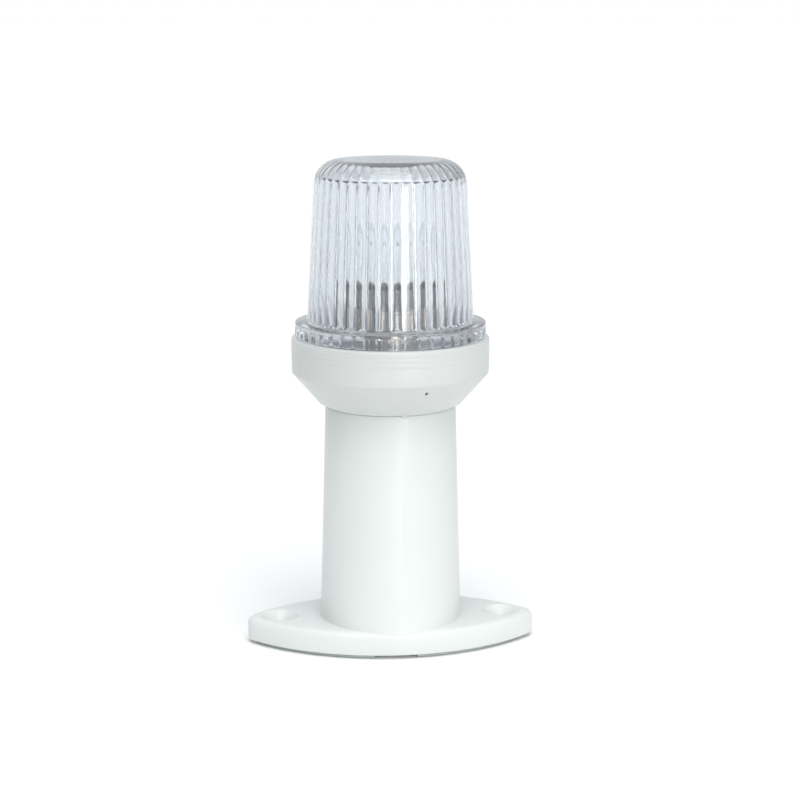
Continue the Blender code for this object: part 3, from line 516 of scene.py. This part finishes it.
def pedestal():
    """Base flange and hollow pole, with screw recesses, cable hole and screw bosses."""
    edge_steps = 10
    edge = [
        (BASE_EDGE * (1 - math.cos(a)), BASE_TOP - BASE_EDGE * (1 - math.sin(a)))
        for a in [math.pi / 2 * i / edge_steps for i in range(edge_steps + 1)]
    ]
    foot = 0.35 * MM
    levels = [(foot, BASE_LOW), (foot * 0.3, BASE_LOW + foot * 0.3), (0.0, BASE_LOW + foot), *edge]
    slab = oval_slab("pedestal", levels, BASE_HALF_LENGTH, BASE_HALF_DEPTH, BASE_TIP)
    low = BASE_LOW + 1.0 * MM
    pole = turned(
        "pole",
        [
            (0, POLE_TOP),
            (POLE_HEAD - 0.4 * MM, POLE_TOP),
            (POLE_HEAD - 0.12 * MM, POLE_TOP - 0.12 * MM),
            (POLE_HEAD, POLE_TOP - 0.4 * MM),
            (POLE_FOOT - 0.02 * MM, BASE_TOP + 0.9 * MM),
            (POLE_FOOT + 0.04 * MM, BASE_TOP + 0.4 * MM),
            (POLE_FOOT + 0.2 * MM, BASE_TOP - 0.05 * MM),
            (POLE_FOOT + 0.2 * MM, low),
            (0, low),
        ],
        192,
    )
    bore = turned(
        "bore",
        [
            (0, POLE_TOP + CUT),
            (POLE_HEAD - WALL, POLE_TOP + CUT),
            (POLE_FOOT - WALL, WEB_TOP),
            (0, WEB_TOP),
        ],
        128,
    )
    steps = [("UNION", pole), ("DIFFERENCE", bore)]
    steps.append(("DIFFERENCE", cylinder(ENTRY_RADIUS, BASE_LOW - CUT, WEB_TOP + CUT, 0, ENTRY_Y)))
    for side in (-1, 1):
        steps.append(("UNION", cylinder(BOSS_RADIUS, BOSS_LOW, BOSS_TOP, side * BOSS_X)))
        pilot = cylinder(PILOT_RADIUS, BOSS_LOW + 2 * MM, BOSS_TOP + CUT, side * BOSS_X, steps=24)
        steps.append(("DIFFERENCE", pilot))
        depth = RECESS_RADIUS - DECK_SCREW_RADIUS
        recess = turned(
            "recess",
            [
                (0, BASE_TOP + CUT),
                (RECESS_RADIUS + 0.5 * MM, BASE_TOP + CUT),
                (RECESS_RADIUS + 0.5 * MM, BASE_TOP + 0.3 * MM),
                (RECESS_RADIUS + 0.12 * MM, BASE_TOP - 0.04 * MM),
                (RECESS_RADIUS - 0.2 * MM, BASE_TOP - 0.24 * MM),
                (DECK_SCREW_RADIUS + 0.1 * MM, BASE_TOP - depth + 0.1 * MM),
                (DECK_SCREW_RADIUS, BASE_TOP - depth - 0.15 * MM),
                (DECK_SCREW_RADIUS, BASE_LOW - CUT),
                (0, BASE_LOW - CUT),
            ],
            64,
        )
        recess.transform(Matrix.Translation((side * DECK_SCREW_X, 0, 0)))
        steps.append(("DIFFERENCE", recess))
    half = KEY_HALF + KEY_GAP
    notch = box_mesh(
        (-half, -POLE_FOOT, POLE_TOP - KEY_DEPTH - KEY_GAP),
        (half, -18.5 * MM, POLE_TOP + CUT),
        KEY_AZIMUTH,
    )
    steps.append(("DIFFERENCE", notch))
    mesh = combined(slab, steps)
    add("pedestal_moulding", mesh, WHITE, "light_body", ["pedestal"], 38)


def pad():
    """The pale pad under the base, open at the front."""
    low, high = PAD_LOW.z, PAD_HIGH.z
    levels = [(PAD_EDGE, low), (0.0, low + PAD_EDGE), (0.0, high - PAD_EDGE), (PAD_EDGE, high)]
    slab = oval_slab("base_pad", levels, PAD_HIGH.x, PAD_HIGH.y, PAD_TIP)
    steps = [("DIFFERENCE", cylinder(PAD_OPENING_RADIUS, low - CUT, high + CUT, steps=128))]
    for side in (-1, 1):
        hole = cylinder(DECK_SCREW_RADIUS, low - CUT, high + CUT, side * DECK_SCREW_X)
        steps.append(("DIFFERENCE", hole))
    notch = box_mesh(
        (-PAD_NOTCH_HALF, -30 * MM, low - CUT),
        (PAD_NOTCH_HALF, -8 * MM, high + CUT),
    )
    steps.append(("DIFFERENCE", notch))
    add("base_pad_soft", combined(slab, steps), PALE, "light_body", ["base_pad"])


def head():
    """The white cup, in plastic darkened as painted shade: cone, collar with faint moulding rings, bore with
    thread ramps.
    """
    cup_low = POLE_TOP + 0.3 * MM
    cup_radius = POLE_HEAD - 3.1 * MM
    inner_low = cup_low + HEAD_BORE - cup_radius
    floor_radius = cup_radius + (HEAD_FLOOR - cup_low)
    plug = 17.3 * MM
    groove = 16.1 * MM
    groove_low, groove_high = 73.4 * MM, 74.9 * MM
    plug_low = 72.35 * MM
    lead_hole = 5.0 * MM
    rings = []
    for level in (94.6 * MM, 93.2 * MM, 91.4 * MM):
        rings += [
            (HEAD_RADIUS, level + 0.12 * MM, 0),
            (HEAD_RADIUS - 0.035 * MM, level, 0),
            (HEAD_RADIUS, level - 0.12 * MM, 0),
        ]
    outer = rounded(
        [(HEAD_BORE + 0.5 * MM, HEAD_TOP, 0), (HEAD_RADIUS - 0.02 * MM, HEAD_TOP, 0.7 * MM), *rings]
        + [(HEAD_RADIUS - 0.1 * MM, CONE_HIGH, 0.9 * MM), (CONE_FOOT, CONE_LOW, 0.3 * MM)],
        6,
    )
    joint = rounded(
        [
            (CONE_FOOT - 1.0 * MM, CONE_LOW, 0), (plug, CONE_LOW, 0),
            (plug, groove_high, 0), (groove, groove_high, 0),
            (groove, groove_low, 0), (plug, groove_low, 0), (plug, plug_low, 0.3 * MM),
            (lead_hole, plug_low, 0), (lead_hole, HEAD_FLOOR, 0),
            (floor_radius, HEAD_FLOOR, 0.5 * MM), (HEAD_BORE, inner_low, 0),
        ],
        4,
    )
    ramp_low = LENS_LOW.z + 0.6 * MM + THREAD_HEIGHT + 0.3 * MM
    bore_heights = [ramp_low - 0.6 * MM + 0.1 * MM * i for i in range(50)]
    bore = [(HEAD_BORE, height) for height in bore_heights]
    mouth = [(HEAD_BORE, HEAD_TOP - 0.5 * MM)]
    profile = outer + joint + bore + mouth
    first = len(outer) + len(joint)

    def ramps(index, angle):
        if not first <= index < first + len(bore):
            return 0.0, 0.0
        return thread_bend(profile[index][1], ramp_low, angle, -1.35 * MM), 0.0

    cup = turned("head", profile, 240, ring=True, bend=ramps)
    steps = []
    key = box_mesh(
        (-KEY_HALF, -POLE_HEAD - 0.2 * MM, POLE_TOP - KEY_DEPTH),
        (KEY_HALF, -18.8 * MM, CONE_LOW + 0.8 * MM),
        KEY_AZIMUTH,
    )
    steps.append(("UNION", key))
    post_top = HOLDER_LOW.z - 0.3 * MM
    for side in (-1, 1):
        post = cylinder(POST_RADIUS, HEAD_FLOOR - CUT, post_top, 0, side * POST_Y)
        pilot = cylinder(PILOT_RADIUS, HEAD_FLOOR + CUT, HOLDER_LOW.z + CUT, 0, side * POST_Y, 24)
        hole = cylinder(SCREW_HOLE_RADIUS, plug_low - CUT, HEAD_FLOOR + CUT, side * BOSS_X, 0, 24)
        steps += [("UNION", post), ("DIFFERENCE", pilot), ("DIFFERENCE", hole)]
    drain = cylinder(DRAIN_RADIUS, 0, 8.5 * MM, steps=24)
    out = Vector((*front(1.0, DRAIN_AZIMUTH), 0.0))
    turn = out.to_track_quat("Z", "Y").to_matrix().to_4x4()
    drain.transform(Matrix.Translation(out * POLE_FOOT + Vector((0, 0, DRAIN_HEIGHT))) @ turn)
    steps.append(("DIFFERENCE", drain))
    mesh = combined(cup, steps)
    add("head_cup", mesh, HEAD_WHITE_PAINTED_SHADE, "light_body", ["head_housing"], 38)


def rib_wave(angle):
    """0 in the groove between two ribs, 1 at the middle of a rib, round in section."""
    share = (angle * RIBS / math.tau) % 1.0 - 0.5
    pitch = math.tau * RIB_PITCH_RADIUS / RIBS
    radius = (pitch * pitch / 4 + RIB_HEIGHT**2) / (2 * RIB_HEIGHT)
    return (math.sqrt(radius**2 - (share * pitch) ** 2) - (radius - RIB_HEIGHT)) / RIB_HEIGHT


def tooth_wave(angle):
    """0 on a tooth of the grip flange, 1 in the gap between two."""
    share = (angle * TEETH / math.tau) % 1.0
    gap = abs(share - 0.5)
    return 1.0 - ease((gap - 0.16) / 0.10)


def lens():
    """One moulding: dome, internal ribs, grip flange, skirt with seal groove and lugs."""
    top = LENS_HIGH.z
    flange_low = HEAD_TOP + 0.3 * MM
    flange_top = flange_low + 4.5 * MM
    skirt = 26.6 * MM
    skirt_bore = 24.3 * MM
    foot = 25.65 * MM
    shoulder = 23.46 * MM
    big = 8.0 * MM
    wall = 2.2 * MM
    draft = math.radians(3.4)
    centre = (shoulder - big, top - CROWN - big)
    rows = []  # (radius, height, kind, amount, direction)

    def row(r, z, kind="", amount=0.0, way=(-1.0, 0.0)):
        rows.append((r, z, kind, amount, way))

    # Outside: crown, shoulder, wall
    row(0.0, top)
    for share in (0.25, 0.5, 0.75, 0.95):
        row(centre[0] * share, top - CROWN * share**2.2)
    arc_start = math.radians(86)
    arc_steps = 14
    for step in range(arc_steps + 1):
        angle = arc_start + (draft - arc_start) * step / arc_steps
        row(centre[0] + big * math.cos(angle), centre[1] + big * math.sin(angle))
    for r, z in rounded(
        [(foot - 0.1 * MM, flange_top + 2 * MM, 0), (foot, flange_top, 0.5 * MM), (28 * MM, flange_top, 0)], 4
    )[1:-1]:
        row(r, z)

    # Grip flange: a smooth rim over the teeth
    flange = 29.33 * MM
    rim_low = flange_top - 1.2 * MM
    rim = [(28 * MM, flange_top, 0), (flange, flange_top, 0.45 * MM), (flange, rim_low, 0)]
    for r, z in rounded(rim, 4)[1:]:
        row(r, z)
    face = flange - 0.05 * MM
    tooth = [
        (flange - 0.02 * MM, rim_low - 0.12 * MM, 0.15),
        (face, rim_low - 0.25 * MM, 0.6),
        (face, rim_low - 0.4 * MM, 1.0),
        (face, rim_low - 1.4 * MM, 1.0),
        (face, flange_low + 0.9 * MM, 1.0),
        (face, flange_low + 0.4 * MM, 1.0),
        (flange - 0.12 * MM, flange_low + 0.15 * MM, 1.0),
        (flange - 0.4 * MM, flange_low, 0.6),
        (flange - 1.2 * MM, flange_low, 0.0),
    ]
    for r, z, amount in tooth:
        row(r, z, "tooth", amount)

    # Skirt: seal groove, lugs, foot and bore
    groove = skirt - 0.9 * MM
    groove_low, groove_high = 93.9 * MM, 96.2 * MM
    low = LENS_LOW.z
    neck = [
        (28 * MM, flange_low, 0), (skirt, flange_low, 0.2 * MM), (skirt, groove_high, 0),
        (groove, groove_high, 0.25 * MM), (groove, groove_low, 0.25 * MM), (skirt, groove_low, 0),
    ]
    for r, z in rounded(neck, 3)[1:]:
        row(r, z)
    lug_low = low + 0.6 * MM
    lug_rows = 42
    for step in range(lug_rows):
        row(skirt, lug_low + 3.9 * MM - 0.1 * MM * step, "lug", 1.0)
    lip = [
        (skirt, lug_low, 0), (skirt, low, 0.4 * MM),
        (skirt_bore, low, 0.4 * MM), (skirt_bore, flange_low - 2 * MM, 0),
    ]
    for r, z in rounded(lip, 3)[1:]:
        row(r, z)

    # Inside: ribs up the wall and a little way up the shoulder, then the ceiling
    inner_foot = foot - wall
    row(inner_foot + 0.25 * MM, flange_top - 3.0 * MM)
    inner_top = top - 2.3 * MM
    small = 5.6 * MM
    inner = (centre[0] + big - wall - small, inner_top - CROWN - small)
    arc_low = inner[1] + small * math.sin(draft)
    rib_start = 1.2 * MM
    for share in (0.0, 0.25, 0.5, 0.75, 1.0):
        row(inner_foot, RIB_LOW - rib_start + rib_start * share, "rib", ease(share))
    lean = inner_foot - inner[0] - small * math.cos(draft)
    for share in (0.25, 0.5, 0.75, 0.95):
        row(inner_foot - lean * share, RIB_LOW + (arc_low - RIB_LOW) * share, "rib", 1.0)
    for degrees in (0, 6, 12, 15, 18, 20, 22, 23.5, 25, 31, 38, 46, 54, 62, 70, 78, 86):
        angle = max(draft, math.radians(degrees))
        past = min(1.0, max(0.0, (degrees - RIB_END + RIB_END_LENGTH) / RIB_END_LENGTH))
        amount = RIB_FADE + (1 - RIB_FADE) * math.sqrt(1 - past**2)
        amount *= 1 - 0.5 * ease((degrees - 55) / 31)
        way = (-math.cos(angle), -math.sin(angle))
        row(inner[0] + small * math.cos(angle), inner[1] + small * math.sin(angle), "rib", amount, way)
    for share in (0.95, 0.75, 0.5, 0.25):
        amount = 0.5 * RIB_FADE * ease((share - 0.4) / 0.6)
        row(inner[0] * share, inner_top - CROWN * share**2.2, "rib", amount, (0.0, -1.0))
    row(0.0, inner_top)

    def bend(index, angle):
        r, z, kind, amount, way = rows[index]
        if kind == "rib":
            size = RIB_HEIGHT * amount * rib_wave(angle)
            return size * way[0], size * way[1]
        if kind == "tooth":
            return -TOOTH_DEPTH * amount * tooth_wave(angle), 0.0
        if kind == "lug":
            return thread_bend(z, lug_low, angle, 1.1 * MM), 0.0
        return 0.0, 0.0

    mesh = turned("lens", [(r, z) for r, z, *_ in rows], COLUMNS, bend=bend)
    add("lens_moulding", mesh, LENS, "lens_cover", ["lens"], 40)


def ring(name, node, material, slot, columns=128, steps=16):
    """A round-section ring in the place of a seal."""
    low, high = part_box(node)
    size = (high.z - low.z) / 2
    radius = high.x - size
    middle = (high.z + low.z) / 2
    profile = [
        (radius + size * math.cos(a), middle + size * math.sin(a))
        for a in [math.pi / 2 - math.tau * i / steps for i in range(steps)]
    ]
    body = "lens_ring" if node == "lens_seal" else "light_body"
    add(name, turned(node, profile, columns, ring=True), material, body, [node])


def lamp_holder():
    """Holder base with a raised rim, and the nickel-plated bayonet shell."""
    low, high = HOLDER_LOW.z, HOLDER_HIGH.z
    radius = HOLDER_HIGH.x
    hole = 8.75 * MM
    profile = rounded(
        [
            (hole, high - 0.4 * MM, 0), (12.2 * MM, high - 0.4 * MM, 0), (12.6 * MM, high, 0.1 * MM),
            (radius, high, 0.6 * MM), (radius, low, 0.3 * MM), (hole, low, 0),
        ], 4,
    )
    base = turned("holder_base", profile, 96, ring=True)
    steps = []
    for side in (-1, 1):
        screw_hole = cylinder(SCREW_HOLE_RADIUS, low - CUT, high + CUT, 0, side * POST_Y, 24)
        rivet_hole = cylinder(RIVET_HOLE_RADIUS, low - CUT, high + CUT, 0, side * RIVET_Y, 20)
        steps += [("DIFFERENCE", screw_hole), ("DIFFERENCE", rivet_hole)]
    add("holder_moulding", combined(base, steps), NYLON, "light_body", ["holder_base"])
    shell_low, shell_high = SHELL_LOW.z, SHELL_HIGH.z
    outer, inner = 8.35 * MM, 7.85 * MM
    bead = outer + 0.25 * MM
    lip = inner - 1.4 * MM
    flange = SHELL_HIGH.x
    seat = high + 0.3 * MM
    sheet = 0.6 * MM
    profile = rounded(
        [
            (bead, shell_high, 0.1 * MM), (bead, shell_high - 0.7 * MM, 0.1 * MM),
            (outer, shell_high - 0.9 * MM, 0), (outer, seat + sheet, 0.35 * MM),
            (flange, seat + sheet, 0.15 * MM), (flange, seat, 0.1 * MM), (outer, seat, 0),
            (outer, shell_low, 0.3 * MM), (lip, shell_low, 0.1 * MM),
            (lip, shell_low + sheet, 0.1 * MM), (inner, shell_low + sheet, 0),
            (inner, shell_high, 0.1 * MM),
        ], 3,
    )
    shell = turned("socket_shell", profile, 112, ring=True)
    steps = []
    for side in (-1, 1):
        rivet_hole = cylinder(RIVET_HOLE_RADIUS, low - CUT, high + 2 * CUT, 0, side * RIVET_Y, 20)
        steps.append(("DIFFERENCE", rivet_hole))
    for turn in (0, math.pi):
        steps.append(("DIFFERENCE", bayonet_slot(turn, shell_high)))
    add("socket_shell_drawn", combined(shell, steps), NICKEL, "light_body", ["socket_shell"])


def bayonet_slot(turn, high):
    """A J-shaped cutter: down, across, then up to where the bulb's pin rests."""
    half = 1.4 * MM
    low = PIN_HEIGHT - PLUNGER_TRAVEL - half
    entry = 4.2 * MM
    outline = [
        (-half, low), (entry + half, low), (entry + half, high + CUT),
        (entry - half, high + CUT), (entry - half, low + 2 * half),
        (half, low + 2 * half), (half, PIN_HEIGHT + half), (-half, PIN_HEIGHT + half),
    ]
    shape = bmesh.new()
    face = shape.faces.new([shape.verts.new((4.5 * MM, y, z)) for y, z in outline])
    moved = bmesh.ops.extrude_face_region(shape, geom=[face])["geom"]
    bmesh.ops.translate(
        shape, vec=(5.5 * MM, 0, 0), verts=[g for g in moved if isinstance(g, bmesh.types.BMVert)]
    )
    bmesh.ops.recalc_face_normals(shape, faces=shape.faces)
    shape.transform(Matrix.Rotation(turn, 4, "Z"))
    mesh = bpy.data.meshes.new("bayonet_slot")
    shape.to_mesh(mesh)
    shape.free()
    return mesh


def bulb():
    """Bayonet cap with its pins, plated in nickel darkened as painted shade, blown glass and filament."""
    low, high = CAP_LOW.z, CAP_HIGH.z - CAP_DROP
    radius, skin = 7.6 * MM, 0.4 * MM
    cap = turned(
        "bulb_cap",
        rounded(
            [
                (radius - 0.1 * MM, high, 0.1 * MM), (radius, high - 0.6 * MM, 0),
                (radius - 0.35 * MM, high - 4.4 * MM, 0), (radius, high - 5.0 * MM, 0),
                (radius, low + 0.7 * MM, 0.4 * MM),
                (radius - 0.6 * MM, low, 0.1 * MM), (radius - 0.6 * MM - skin, low, 0.1 * MM),
                (radius - 0.6 * MM - skin, low + 0.6 * MM, 0), (radius - skin, low + 1.2 * MM, 0),
                (radius - skin, high, 0.1 * MM),
            ], 3,
        ),
        96, ring=True,
    )
    steps = []
    for side in (-1, 1):
        pin = cylinder(PIN_RADIUS, 0, 1.65 * MM, steps=32, wide=0.92 * MM)
        tip = Matrix.Translation((side * (radius - skin - 0.3 * MM), 0, PIN_HEIGHT))
        pin.transform(tip @ Matrix.Rotation(side * math.pi / 2, 4, "Y"))
        steps.append(("UNION", pin))
    add("bulb_cap_plated", combined(cap, steps), CAP_NICKEL_PAINTED_SHADE, "lamp", ["bulb_cap"])
    neck = radius - skin - 0.3 * MM
    thick = 0.4 * MM
    glass_low, glass_top = GLASS_LOW.z, GLASS_HIGH.z
    ball = GLASS_HIGH.x
    centre = glass_top - ball
    arc_steps = 26
    turns = [math.radians(90 - 128 * i / arc_steps) for i in range(arc_steps + 1)]
    outer = [(ball * math.cos(a), centre + ball * math.sin(a)) for a in turns]
    bore = ball - thick
    turns = [math.radians(-38 + 128 * i / arc_steps) for i in range(arc_steps + 1)]
    inner = [(bore * math.cos(a), centre + bore * math.sin(a)) for a in turns]
    outer[0] = (0.0, glass_top)
    inner[-1] = (0.0, glass_top - thick)
    profile = outer + rounded(
        [
            (*outer[-1], 0), (neck, high + 0.5 * MM, 0.8 * MM), (neck, glass_low, 0.2 * MM),
            (neck - thick, glass_low, 0.2 * MM), (neck - thick, high + 0.8 * MM, 0.6 * MM), (*inner[0], 0),
        ], 4,
    )[1:-1] + inner
    glass = turned("bulb_glass", profile, 112)
    add("bulb_glass_blown", glass, GLASS, "lamp", ["bulb_glass"], 60)
    filament()


def filament():
    """A finely coiled wire that arches between its two supports."""
    low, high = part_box("filament")
    count, turns = 300, 24
    coil = 0.32 * MM
    arch = 1.0 * MM
    span = high.x - 0.2 * MM
    loops = []
    for index in range(count + 1):
        share = 2 * index / count - 1
        angle = math.tau * turns * index / count
        middle = low.z + 0.45 * MM + arch * (1 - share * share)
        loops.append((span * share, coil * math.cos(angle), middle + coil * math.sin(angle)))
    wire = tube("filament", loops, 0.07 * MM, 8)
    add("filament_coil", wire, TUNGSTEN, "lamp", ["filament"], 60)


def spring():
    """The contact spring, wound finer than its CAD solid."""
    low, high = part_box("contact_spring")
    wire = 0.3 * MM
    radius = (high.x - low.x) / 2 - wire
    turns, each = 4, 28
    bottom, top = low.z + wire, high.z - wire
    path = []
    for index in range(turns * each + 1):
        angle = math.tau * index / each
        height = bottom + (top - bottom) * index / (turns * each)
        path.append((radius * math.cos(angle), radius * math.sin(angle), height))
    coil = tube("spring", path, wire, 12)
    made = add("contact_spring_wound", coil, STEEL, "light_body", ["contact_spring"], 60)
    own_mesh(made)


def carried_nodes():
    """CAD solids that stay as they are: welded, softly edged, and given their finish."""
    finishes = {
        "white_plastic": WHITE, "pale_rubber": PALE, "black_rubber": BLACK, "lens_plastic": LENS,
        "bulb_glass": GLASS, "nickel_plate": NICKEL, "brass": BRASS, "steel": STEEL,
        "copper": COPPER, "tungsten": TUNGSTEN, "solder": SOLDER, "brown_phenolic": PHENOLIC,
        "black_glass": VITRITE, "nylon": NYLON, "red_insulation": RED, "black_insulation": DARK,
    }
    slots = {row["node"]: row["material_slot"] for row in frame["record"]["subparts"]}
    for name, node in frame["nodes"].items():
        if node.hide_render:
            continue
        node.data.materials.clear()
        node.data.materials.append(finishes[slots[name]])
        node.data.shade_smooth()
        weld = node.modifiers.new("weld", "WELD")
        weld.merge_threshold = 0.000002
        split = node.modifiers.new("edges", "EDGE_SPLIT")
        split.split_angle = math.radians(35)


# --- studio -----------------------------------------------------------------------------


def paper_floor():
    mesh = bpy.data.meshes.new("floor")
    size = FLOOR_HALF
    corners = [(-size, -size, 0), (size, -size, 0), (size, size, 0), (-size, size, 0)]
    mesh.from_pydata(corners, [], [(0, 1, 2, 3)])
    floor = bpy.data.objects.new("floor", mesh)
    floor.location.z = -0.05 * MM
    pale = Finish("floor_paper", (0.95, 0.95, 0.95), 0.9)
    pale.vary_colour(pale.noise(3.0), 0.995)
    mesh.materials.append(pale.material)
    bpy.context.scene.collection.objects.link(floor)


def world_light():
    """Light from all around, weaker from the two sides. The camera sees plain white."""
    world = bpy.data.worlds.new("studio")
    bpy.context.scene.world = world
    world.use_nodes = True
    tree = world.node_tree
    background = tree.nodes["Background"]
    where = tree.nodes.new("ShaderNodeTexCoord")
    along = tree.nodes.new("ShaderNodeVectorMath")
    along.operation = "DOT_PRODUCT"
    along.inputs[1].default_value = (math.cos(DARK_AZIMUTH), math.sin(DARK_AZIMUTH), 0.0)
    tree.links.new(where.outputs["Generated"], along.inputs[0])
    square = tree.nodes.new("ShaderNodeMath")
    square.operation = "MULTIPLY"
    for socket in square.inputs[:2]:
        tree.links.new(along.outputs["Value"], socket)
    shade = tree.nodes.new("ShaderNodeMapRange")
    shade.inputs["To Min"].default_value = WORLD_BRIGHT
    shade.inputs["To Max"].default_value = WORLD_DARK
    tree.links.new(square.outputs["Value"], shade.inputs["Value"])
    background.inputs["Color"].default_value = (0.95, 0.98, 1.0, 1.0)
    tree.links.new(shade.outputs["Result"], background.inputs["Strength"])

    seen = tree.nodes.new("ShaderNodeBackground")
    path = tree.nodes.new("ShaderNodeLightPath")
    mix = tree.nodes.new("ShaderNodeMixShader")
    tree.links.new(path.outputs["Is Camera Ray"], mix.inputs["Fac"])
    tree.links.new(background.outputs["Background"], mix.inputs[1])
    tree.links.new(seen.outputs["Background"], mix.inputs[2])
    tree.links.new(mix.outputs["Shader"], tree.nodes["World Output"].inputs["Surface"])
    seen.inputs["Color"].default_value = (1.0, 1.0, 1.0, 1.0)


def daylight():
    """A broad, soft sun from above and in front."""
    data = bpy.data.lights.new("daylight", "SUN")
    data.angle = math.radians(50)
    data.energy = 1.65
    sun = bpy.data.objects.new("daylight", data)
    sun.rotation_euler = (math.radians(25), 0, 0)
    bpy.context.scene.collection.objects.link(sun)


def key_light():
    """A tall window-like light, which draws the bright stripe on the lens and the pole."""
    data = bpy.data.lights.new("key", "AREA")
    data.shape = "RECTANGLE"
    data.size = 0.16
    data.size_y = 0.40
    data.energy = 1.5
    data.color = (1.0, 0.97, 0.91)
    lamp = bpy.data.objects.new("key", data)
    out = math.cos(KEY_LIGHT_ELEVATION)
    way = Vector((*front(out, KEY_LIGHT_AZIMUTH), math.sin(KEY_LIGHT_ELEVATION)))
    lamp.location = Vector((0, 0, KEY_LIGHT_AIM)) + way * KEY_LIGHT_DISTANCE
    lamp.rotation_euler = way.to_track_quat("Z", "Y").to_euler()
    bpy.context.scene.collection.objects.link(lamp)


def camera():
    data = bpy.data.cameras.new("camera")
    data.lens = CAMERA_LENS
    data.sensor_width = 36.0
    data.clip_start = 0.01
    made = bpy.data.objects.new("camera", data)
    made.location = CAMERA_AT
    made.rotation_euler = (math.radians(90 - CAMERA_DOWN), 0.0, math.radians(CAMERA_TURN))
    bpy.context.scene.collection.objects.link(made)
    bpy.context.scene.camera = made
    bpy.context.scene.view_settings.view_transform = "Standard"


pedestal()
pad()
head()
lens()
ring("lens_seal_ring", "lens_seal", PALE, "pale_rubber")
ring("pole_seal_ring", "pole_seal", BLACK, "black_rubber", 96, 12)
lamp_holder()
bulb()
spring()
carried_nodes()
paper_floor()
world_light()
daylight()
key_light()
camera()
